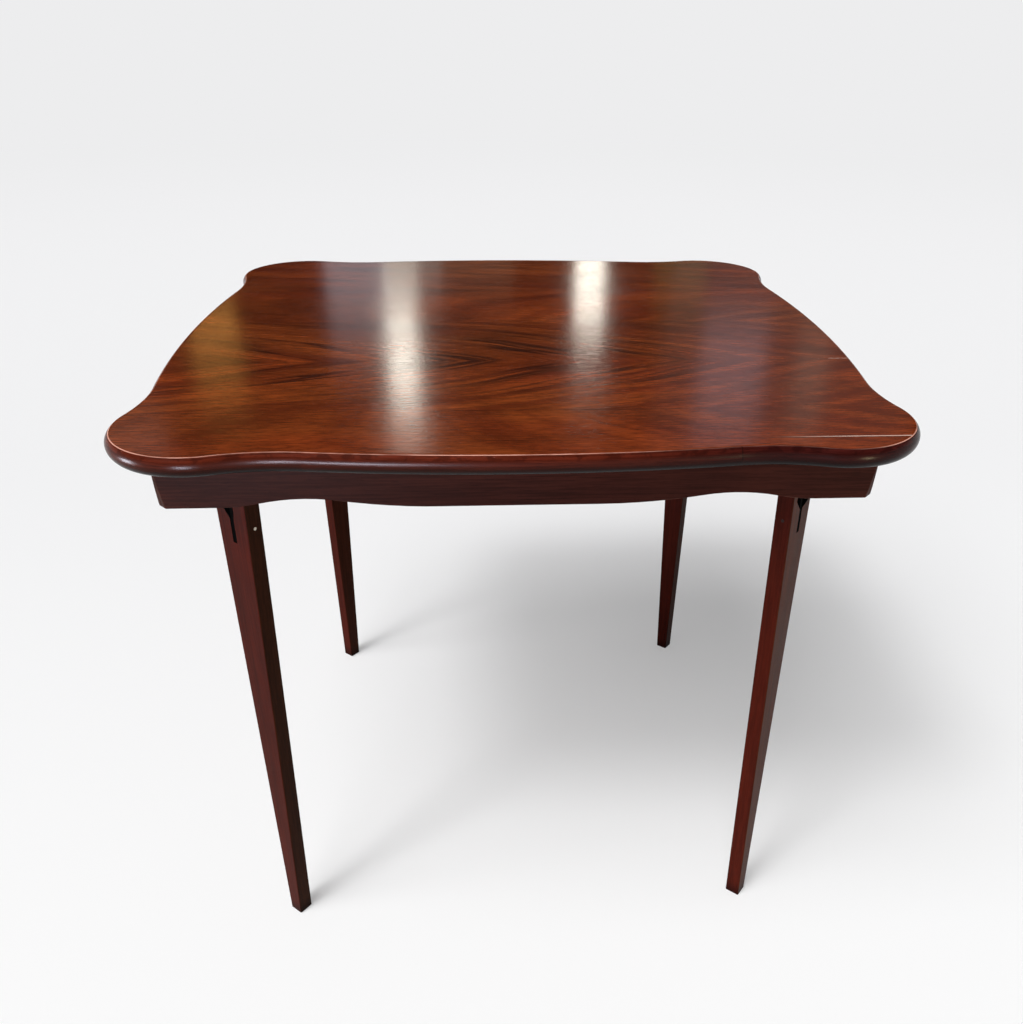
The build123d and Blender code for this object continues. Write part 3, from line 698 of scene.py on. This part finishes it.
def outline_arcs():
    """The front bulge, the hollow to its right and the right lobe, as centre, radius
    and the directions of their ends from that centre."""
    bulge = Vector((0.0, -HALF_TOP + BULGE_RADIUS))
    place = HALF_TOP - LOBE_SETBACK - LOBE_RADIUS
    lobe = Vector((place, -place))
    to_bulge = BULGE_RADIUS + HOLLOW_RADIUS
    to_lobe = LOBE_RADIUS + HOLLOW_RADIUS
    run = lobe - bulge
    along = (to_bulge**2 - to_lobe**2 + run.length_squared) / (2 * run.length)
    aside = math.sqrt(to_bulge**2 - along**2)
    unit = run.normalized()
    hollow = bulge + along * unit + aside * Vector((unit.y, -unit.x))

    def heading(start, end):
        return math.atan2(end.y - start.y, end.x - start.x)

    to_hollow = heading(bulge, hollow)
    to_nose = heading(lobe, hollow)
    straight_ahead = -math.pi / 2
    return (
        (bulge, BULGE_RADIUS, 2 * straight_ahead - to_hollow, to_hollow),
        (hollow, HOLLOW_RADIUS, heading(hollow, bulge), heading(hollow, lobe)),
        (lobe, LOBE_RADIUS, to_nose, straight_ahead - to_nose),
    )


def arc_points(centre, radius, start, end, step):
    count = max(2, math.ceil(abs(end - start) * radius / step))
    return [
        Vector((centre.x + radius * math.cos(start + (end - start) * n / count),
                centre.y + radius * math.sin(start + (end - start) * n / count)))
        for n in range(count + 1)
    ]


def moulding_paths():
    """Points along the outer edge: the front length and the front right corner."""
    bulge, hollow, lobe = outline_arcs()
    first = arc_points(*hollow, HOLLOW_STEP)
    round_part = arc_points(*lobe, LOBE_STEP)
    last = [Vector((-point.y, -point.x)) for point in reversed(first)]
    return arc_points(*bulge, BULGE_STEP), first + round_part[1:] + last[1:]


def moulding_tree():
    """Geometry Nodes: a rectangle whose outer side swells into the nose, swept along
    the object's curve. Its run, inset and height are kept for the grain."""
    tree = bpy.data.node_groups.new("Moulding", "GeometryNodeTree")
    face = tree.interface
    face.new_socket("Geometry", in_out="INPUT", socket_type="NodeSocketGeometry")
    face.new_socket("Geometry", in_out="OUTPUT", socket_type="NodeSocketGeometry")
    sizes = (("Width", MOULDING_WIDTH), ("Thickness", TOP_THICKNESS), ("Nose depth", NOSE_DEPTH),
             ("Arris radius", ARRIS_RADIUS), ("Run start", 0.0))
    for label, value in sizes:
        face.new_socket(label, in_out="INPUT", socket_type="NodeSocketFloat").default_value = value
    face.new_socket("Material", in_out="INPUT", socket_type="NodeSocketMaterial")
    given = put(tree, "NodeGroupInput").outputs
    width, thickness, nose = given["Width"], given["Thickness"], given["Nose depth"]

    def position():
        return put(tree, "GeometryNodeInputPosition").outputs[0]

    # Where the nose is at each height: on an arc through both arrises
    outline = put(tree, "GeometryNodeCurvePrimitiveQuadrilateral", {
        "Width": width, "Height": thickness})
    fine = put(tree, "GeometryNodeSubdivideCurve", {
        "Curve": outline.outputs[0], "Cuts": SECTION_CUTS})
    inwards, level, _ = axes(tree, position())
    half_width = maths(tree, "DIVIDE", width, 2.0)
    half = maths(tree, "DIVIDE", thickness, 2.0)
    radius = maths(tree, "DIVIDE", maths(
        tree, "ADD", product(tree, half, half), product(tree, nose, nose)), product(tree, nose, 2.0))
    drop = maths(tree, "SUBTRACT", radius, maths(tree, "SQRT", maths(
        tree, "SUBTRACT", product(tree, radius, radius), product(tree, level, level))))
    outermost = maths(tree, "SUBTRACT", half_width, drop)

    # The flat sides keep no points beside the arris, so that it can be rounded cleanly
    on_flat = maths(tree, "GREATER_THAN", maths(tree, "ABSOLUTE", level),
                    maths(tree, "SUBTRACT", half, HAIR))
    beyond = maths(tree, "GREATER_THAN", inwards, maths(
        tree, "SUBTRACT", outermost, ARRIS_CLEARANCE))
    short_of_corner = maths(tree, "LESS_THAN", inwards, maths(tree, "SUBTRACT", half_width, HAIR))
    cleared = put(tree, "GeometryNodeDeleteGeometry", {
        "Geometry": fine.outputs[0], "Selection": product(tree, on_flat, beyond, short_of_corner)},
        domain="POINT")

    inset = maths(tree, "SUBTRACT", maths(tree, "MINIMUM", inwards, outermost), half_width)
    section = put(tree, "GeometryNodeSetPosition", {
        "Geometry": cleared.outputs[0], "Position": combined(tree, inset, level)})
    at_nose = maths(tree, "GREATER_THAN", inset, maths(tree, "MULTIPLY", width, -0.9))
    rounded = put(tree, "GeometryNodeFilletCurve", {
        "Curve": section.outputs[0], "Radius": product(tree, given["Arris radius"], at_nose)})
    kept = put(tree, "GeometryNodeCaptureAttribute", {0: rounded.outputs[0]})
    kept.capture_items.new("VECTOR", "Section")
    tree.links.new(position(), kept.inputs[1])

    measured = put(tree, "GeometryNodeCaptureAttribute", {0: given["Geometry"]})
    measured.capture_items.new("FLOAT", "Run")
    tree.links.new(put(tree, "GeometryNodeSplineParameter").outputs["Length"], measured.inputs[1])
    swept = put(tree, "GeometryNodeCurveToMesh", {
        "Curve": measured.outputs[0], "Profile Curve": kept.outputs[0], "Fill Caps": True})
    section_x, section_y, _ = axes(tree, kept.outputs[1])
    run = maths(tree, "ADD", measured.outputs[1], given["Run start"])
    run = combined(tree, run, maths(tree, "ABSOLUTE", section_x),
                   maths(tree, "MULTIPLY", section_y, -1.0))
    stored = put(tree, "GeometryNodeStoreNamedAttribute", {
        "Geometry": swept.outputs[0], "Name": "run"}, data_type="FLOAT_VECTOR", domain="POINT")
    tree.links.new(run, stored.inputs["Value"])
    solid = put(tree, "GeometryNodeRealizeInstances", {0: stored.outputs[0]})
    painted = put(tree, "GeometryNodeSetMaterial", {
        "Geometry": solid.outputs[0], "Material": given["Material"]})
    put(tree, "NodeGroupOutput", {0: painted.outputs[0]})
    return tree


def set_input(modifier, label, value):
    for item in modifier.node_group.interface.items_tree:
        if item.item_type == "SOCKET" and item.in_out == "INPUT" and item.name == label:
            modifier[item.identifier] = value


def swept_mesh(tree, points, quarter, run_start):
    """The section swept along the points, turned about Z by that many quarters."""
    turn = Matrix.Rotation(math.radians(90 * quarter), 2)
    path = bpy.data.curves.new("path", "CURVE")
    path.dimensions = "3D"
    spline = path.splines.new("POLY")
    spline.points.add(len(points) - 1)
    for target, point in zip(spline.points, points):
        flat = turn @ point
        target.co = (flat.x, flat.y, TOP_Z - TOP_THICKNESS / 2, 1.0)
    holder = held(path)
    sweep = holder.modifiers.new("Moulding", "NODES")
    sweep.node_group = tree
    set_input(sweep, "Run start", run_start)
    set_input(sweep, "Material", moulding_wood)
    return taken(holder)


def moulding(tree, points, quarter, node, run_start):
    """A length of moulding: closed, facing outwards, its flat face veneered."""
    mesh = swept_mesh(tree, points, quarter, run_start)
    shape = bmesh.new()
    shape.from_mesh(mesh)
    bmesh.ops.remove_doubles(shape, verts=shape.verts, dist=SAME_SWEPT_POINT)
    bmesh.ops.recalc_face_normals(shape, faces=shape.faces)
    shape.to_mesh(mesh)
    shape.free()
    mesh.materials.clear()
    mesh.materials.append(moulding_wood)
    mesh.materials.append(moulding_face_wood)
    for polygon in mesh.polygons:
        polygon.use_smooth = True
        polygon.material_index = 1 if polygon.normal.z > LOOKS_UP else 0
    mesh.set_sharp_from_angle(angle=SHADED_MOULDING_EDGE)
    return made_object("swept_" + node, evened(mesh, node), node)


# Every piece of the table

side_path, corner_path = moulding_paths()
sweep_tree = moulding_tree()
for number, side in enumerate(SIDES):
    moulding(sweep_tree, side_path, number, "edge_moulding_" + side, TIGHT_JOINT)
for number, corner in enumerate(CORNERS):
    moulding(sweep_tree, corner_path, number - 1, "corner_moulding_" + corner, OPEN_JOINT)

for side in SIDES:
    apron = "apron_" + side
    glue_blocks = "glue_blocks_" + side
    across = side in ("right", "left")
    softened(apron, APRON_EASE, apron_woods[side], "wood_" + apron)
    softened(glue_blocks, BLOCK_EASE, glue_wood_across if across else glue_wood,
             "wood_" + glue_blocks)

for quarter, corner in enumerate(CORNERS):
    leg = "leg_" + corner
    block = "corner_block_" + corner
    softened(leg, LEG_EASE, leg_woods[corner], "wood_" + leg, slot_walls(quarter))
    softened(block, BLOCK_EASE, block_wood, "wood_" + block)
    for kind, width, material, slot in (
        ("hinge_bracket_", PLATE_EASE, bracket_steel, "bracket_steel"),
        ("stop_plate_", PLATE_EASE, black_steel, "black_steel"),
        ("spring_catch_", SPRING_EASE, spring_steel, "spring_steel"),
    ):
        softened(kind + corner, width, material, "steel_" + kind + corner)

for node, material in (
    ("top_panel", top_wood),
    ("hinge_washers", pin_steel),
    ("bracket_screws", screw_steel),
    ("block_screws", screw_steel),
    ("catch_screws", screw_steel),
    *(("pivot_pin_" + corner, pin_steel) for corner in CORNERS),
    ("plate_rivet_front_left", rivet_steel),
    *(("plate_rivet_" + corner, stained_rivet) for corner in CORNERS[1:]),
):
    mesh = frame["nodes"][node].data
    mesh.materials.clear()
    mesh.materials.append(material)


# Studio: a pale floor, a soft sun with a firmer core, and panels that show only in gloss

BACKGROUND = linear(237, 237, 238)
FLOOR_NEAR = linear(249, 249, 249)
FLOOR_FAR = linear(238, 238, 239)
NEAR_GLOW = 0.37              # share of the floor's brightness that no shadow reaches
FLOOR_REACH = 900.0
EVEN_LIGHT = (0.15, 0.15, 0.152)
DIM_AROUND = (0.03, 0.03, 0.031)
DIM_BEHIND = (0.008, 0.008, 0.008)


def seen_by_camera_or_lacquer(tree):
    ways = put(tree, "ShaderNodeLightPath").outputs
    return maths(tree, "MAXIMUM", ways["Is Camera Ray"], maths(
        tree, "MAXIMUM", ways["Is Glossy Ray"], ways["Is Transmission Ray"]))


def floor_material():
    """A matt floor that takes the shadow and runs into the backdrop far away."""
    material = bpy.data.materials.new("Pale_floor")
    material.use_nodes = True
    tree = material.node_tree
    tree.nodes.clear()
    place = put(tree, "ShaderNodeTexCoord").outputs["Object"]
    colour = blended(tree, smooth(tree, axes(tree, place)[1], -1.1, 1.4), FLOOR_NEAR, FLOOR_FAR)
    distance = put(tree, "ShaderNodeVectorMath", {0: place}, operation="LENGTH").outputs["Value"]
    away = smooth(tree, distance, 2.5, 9.0)
    colour = blended(tree, away, colour, BACKGROUND)
    share = maths(tree, "MULTIPLY_ADD", away, 1.0 - NEAR_GLOW, NEAR_GLOW)
    share = maths(tree, "MULTIPLY", seen_by_camera_or_lacquer(tree), share)
    matt = put(tree, "ShaderNodeBsdfDiffuse", {"Color": colour})
    glow = put(tree, "ShaderNodeEmission", {"Color": colour, "Strength": 1.0})
    both = put(tree, "ShaderNodeMixShader", {0: share, 1: matt.outputs[0], 2: glow.outputs[0]})
    put(tree, "ShaderNodeOutputMaterial", {"Surface": both.outputs[0]})
    return material


def studio_floor():
    mesh = bpy.data.meshes.new("floor")
    corners = [(x * FLOOR_REACH, y * FLOOR_REACH, 0) for x, y in ((-1, -1), (1, -1), (1, 1), (-1, 1))]
    mesh.from_pydata(corners, [], [(0, 1, 2, 3)])
    mesh.materials.append(floor_material())
    floor = bpy.data.objects.new("floor", mesh)
    bpy.context.scene.collection.objects.link(floor)


def studio_world():
    """An even dim light. The camera sees a pale backdrop all round. In the lacquer it is
    dim higher up, and behind the table from lower down, so that the top isn't milky."""
    world = bpy.data.worlds.new("Studio")
    bpy.context.scene.world = world
    world.use_nodes = True
    tree = world.node_tree
    tree.nodes.clear()
    _, depth, height = axes(tree, put(tree, "ShaderNodeTexCoord").outputs["Generated"])
    behind = smooth(tree, depth, 0.30, 0.80)
    low = maths(tree, "MULTIPLY_ADD", behind, -0.18, 0.20)
    high = maths(tree, "MULTIPLY_ADD", behind, -0.32, 0.42)
    dim = blended(tree, behind, DIM_AROUND, DIM_BEHIND)
    mirrored = blended(tree, smooth(tree, height, low, high, 1.0, 0.0), dim, BACKGROUND)
    colour = blended(tree, seen_by_camera_or_lacquer(tree), EVEN_LIGHT, mirrored)
    direct = put(tree, "ShaderNodeLightPath").outputs["Is Camera Ray"]
    colour = blended(tree, direct, colour, BACKGROUND)
    glow = put(tree, "ShaderNodeBackground", {0: colour, 1: 1.0})
    put(tree, "ShaderNodeOutputWorld", {"Surface": glow.outputs[0]})


def sun(name, travel, strength, spread):
    """Light and shadow from one side. It doesn't show in gloss."""
    light = bpy.data.lights.new(name, "SUN")
    light.energy = strength
    light.angle = math.radians(spread)
    lamp = bpy.data.objects.new(name, light)
    lamp.rotation_euler = Vector(travel).to_track_quat("-Z", "Y").to_euler()
    lamp.visible_glossy = False
    bpy.context.scene.collection.objects.link(lamp)


def reflected_panel(name, centre, width, height, radiance, colour, target=(0.0, 0.0, TOP_Z)):
    """A flat pale card that shows in the lacquer and lights nothing else."""
    light = bpy.data.lights.new(name, "AREA")
    light.shape = "RECTANGLE"
    light.size = width
    light.size_y = height
    light.energy = radiance * math.pi * width * height
    light.color = colour
    lamp = bpy.data.objects.new(name, light)
    lamp.location = centre
    lamp.rotation_euler = (Vector(target) - Vector(centre)).to_track_quat("-Z", "Y").to_euler()
    lamp.visible_camera = False
    lamp.visible_diffuse = False
    bpy.context.scene.collection.objects.link(lamp)


KEY_WAY = (0.42, 0.40, -0.81)
WARM_WHITE = (1.0, 0.96, 0.84)
PANELS = (                    # name, centre, width, height, radiance, colour
    ("left_streak", (-0.36, 2.5, 1.60), 0.12, 0.46, 3.2, WARM_WHITE),
    ("left_streak_core", (-0.36, 2.5, 1.56), 0.09, 0.22, 4.2, WARM_WHITE),
    ("left_streak_tail", (-0.35, 2.5, 1.26), 0.13, 0.22, 1.0, WARM_WHITE),
    ("right_streak", (0.372, 2.5, 1.268), 0.11, 0.295, 5.6, WARM_WHITE),
    ("right_streak_tail", (0.372, 2.5, 1.62), 0.12, 0.30, 0.12, (1.0, 0.90, 0.84)),
    ("cool_wall", (-0.53, 2.6, 1.26), 0.24, 0.44, 0.55, (0.86, 0.90, 1.0)),
    ("pale_wall", (-0.31, 2.6, 1.18), 0.22, 0.28, 0.40, (1.0, 0.96, 0.86)),
    ("brown_wall", (-0.06, 2.6, 1.18), 0.28, 0.24, 0.14, (1.0, 0.80, 0.55)),
    ("warm_wall", (-1.08, 2.5, 1.47), 0.18, 0.27, 1.15, (1.0, 0.50, 0.12)),
    ("left_haze", (-1.62, 2.5, 1.99), 0.56, 0.34, 0.28, (1.0, 0.86, 0.78)),
    ("right_haze", (0.96, 2.5, 1.68), 0.26, 0.50, 0.42, (0.94, 0.86, 1.0)),
    ("far_right_haze", (1.29, 2.5, 1.68), 0.13, 0.44, 0.28, (1.0, 0.86, 0.70)),
    ("right_wall", (1.25, 2.7, 1.65), 1.10, 1.10, 0.09, (1.0, 0.88, 0.84)),
    ("green_wall", (0.72, 2.5, 1.23), 0.20, 0.16, 0.22, (0.70, 0.72, 0.25)),
)
# The windows stay under the plane of the top, so that it doesn't mirror them in any
# view: they show in the nose, the aprons and the legs. The last value is their target.
WINDOWS = (
    ("side_window", (-2.6, -0.62, 0.39), 0.65, 0.58, 54.0, (0.84, 0.90, 1.0), (-0.4, -0.4, 0.39)),
    ("front_window", (-0.75, -2.2, 0.45), 0.55, 0.50, 74.0, (0.78, 0.84, 1.0), (-0.1, -0.4, 0.44)),
    ("right_window", (1.6, -2.2, 0.44), 0.32, 0.48, 40.0, (1.0, 0.93, 0.55), (0.3, -0.4, 0.44)),
)

studio_floor()
studio_world()
sun("key", KEY_WAY, strength=2.5, spread=44.0)
sun("key_core", KEY_WAY, strength=1.0, spread=13.0)
for panel in PANELS + WINDOWS:
    reflected_panel(*panel)


# Camera

def camera():
    """The photograph's viewpoint, fitted to the outline of the top and to the feet."""
    picture_height = 1024.0   # the lengths in pixels are of a picture this high
    focal_pixels = 962.25
    off_right, off_down = 35.6, 43.9
    place = Vector((-0.0346, -1.2321, TOP_Z + 0.3561))
    yaw, pitch, roll = 0.06845, 0.5117, 0.0142
    forward = Vector((math.sin(yaw) * math.cos(pitch), math.cos(yaw) * math.cos(pitch),
                      -math.sin(pitch)))
    right = Vector((math.cos(yaw), -math.sin(yaw), 0.0))
    up = right.cross(forward)
    tilt = Matrix.Rotation(-roll, 3, forward)
    right, up = tilt @ right, tilt @ up
    data = bpy.data.cameras.new("camera")
    data.sensor_width = 36.0
    data.lens = focal_pixels / picture_height * data.sensor_width
    data.shift_x = -off_right / picture_height
    data.shift_y = off_down / picture_height
    eye = bpy.data.objects.new("camera", data)
    turn = Matrix((right, up, -forward)).transposed().to_4x4()
    eye.matrix_world = Matrix.Translation(place) @ turn
    bpy.context.scene.collection.objects.link(eye)
    bpy.context.scene.camera = eye


camera()
bpy.context.scene.view_settings.view_transform = "Standard"
